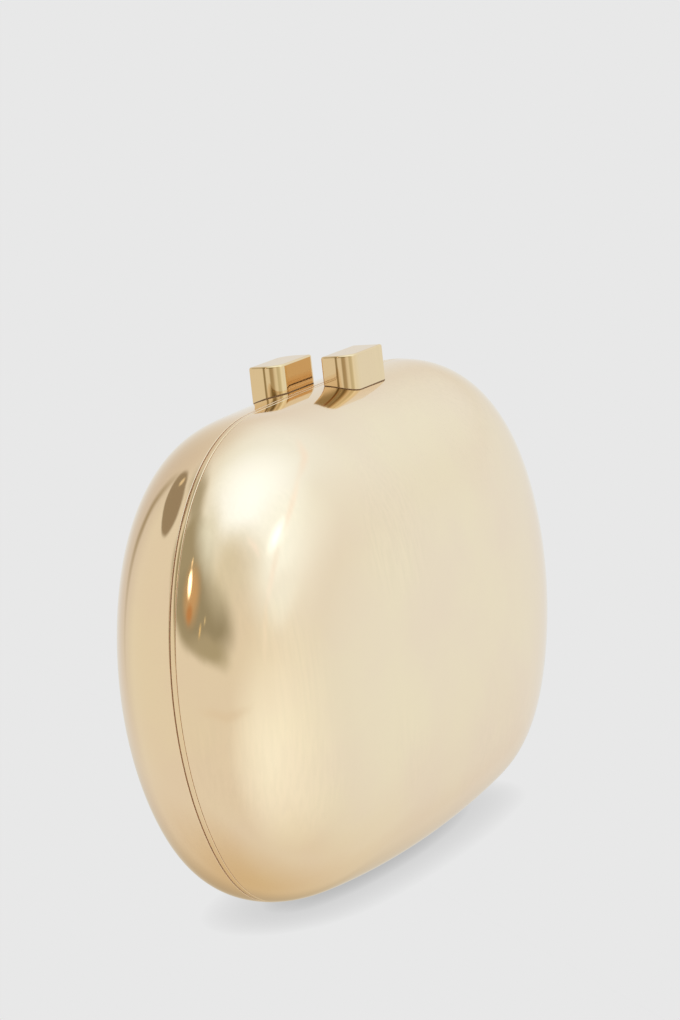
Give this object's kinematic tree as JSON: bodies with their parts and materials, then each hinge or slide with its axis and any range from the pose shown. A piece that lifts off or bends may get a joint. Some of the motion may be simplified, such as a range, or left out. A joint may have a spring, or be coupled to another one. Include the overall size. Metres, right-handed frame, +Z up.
{
  "type": "minaudiere",
  "caption": "Hard-shell evening clutch in polished gold metal: two deep rounded halves on a bottom hinge, with a ball catch and two staggered clasp blocks on top.",
  "frame": {"origin": "under the middle of the base, on the surface that the clutch stands on, in the plane of the seam", "axes": "+X along the clutch, end to end; -Y is the half that opens, which the picture shows as the front; +Z up, towards the clasp blocks"},
  "size_m": [0.188, 0.07, 0.1266],
  "materials": {
    "gold_plate": "pale gold plate over pressed brass, polished to a mirror, with fine wear scratches",
    "bare_brass": "brushed, lacquered",
    "steel": "drawn and ground",
    "fibre": "red-brown vulcanised fibre",
    "lining": "champagne satin over thin padding"
  },
  "bodies": {
    "back_half": {"back_shell": "gold_plate", "back_frame": "bare_brass", "back_clasp_block": "gold_plate", "back_block_screws": "steel", "back_block_washers": "fibre", "back_hinge_leaf": "gold_plate", "hinge_pin": "steel", "back_lining": "lining"},
    "front_half": {"front_shell": "gold_plate", "front_frame": "gold_plate", "front_lip": "bare_brass", "front_clasp_block": "gold_plate", "front_block_screws": "steel", "front_block_washers": "fibre", "front_hinge_leaf": "gold_plate", "front_lining": "lining", "catch_barrel": "bare_brass", "catch_spring": "steel", "catch_plug": "bare_brass"},
    "catch_ball": {"catch_ball": "steel"}
  },
  "joints": [
    {"name": "lid_hinge", "type": "hinge", "parent": "back_half", "child": "front_half", "pos_m": [0, 0, 0.00195], "axis": [1, 0, 0], "range_deg": [0, 100]},
    {"name": "catch_slide", "type": "slide", "parent": "front_half", "child": "catch_ball", "axis": [0, 0, -1], "range_m": [0, 0.0005], "stiffness_N_per_m": 1000, "springref_m": -0.001, "deforming": ["catch_spring"]}
  ]
}
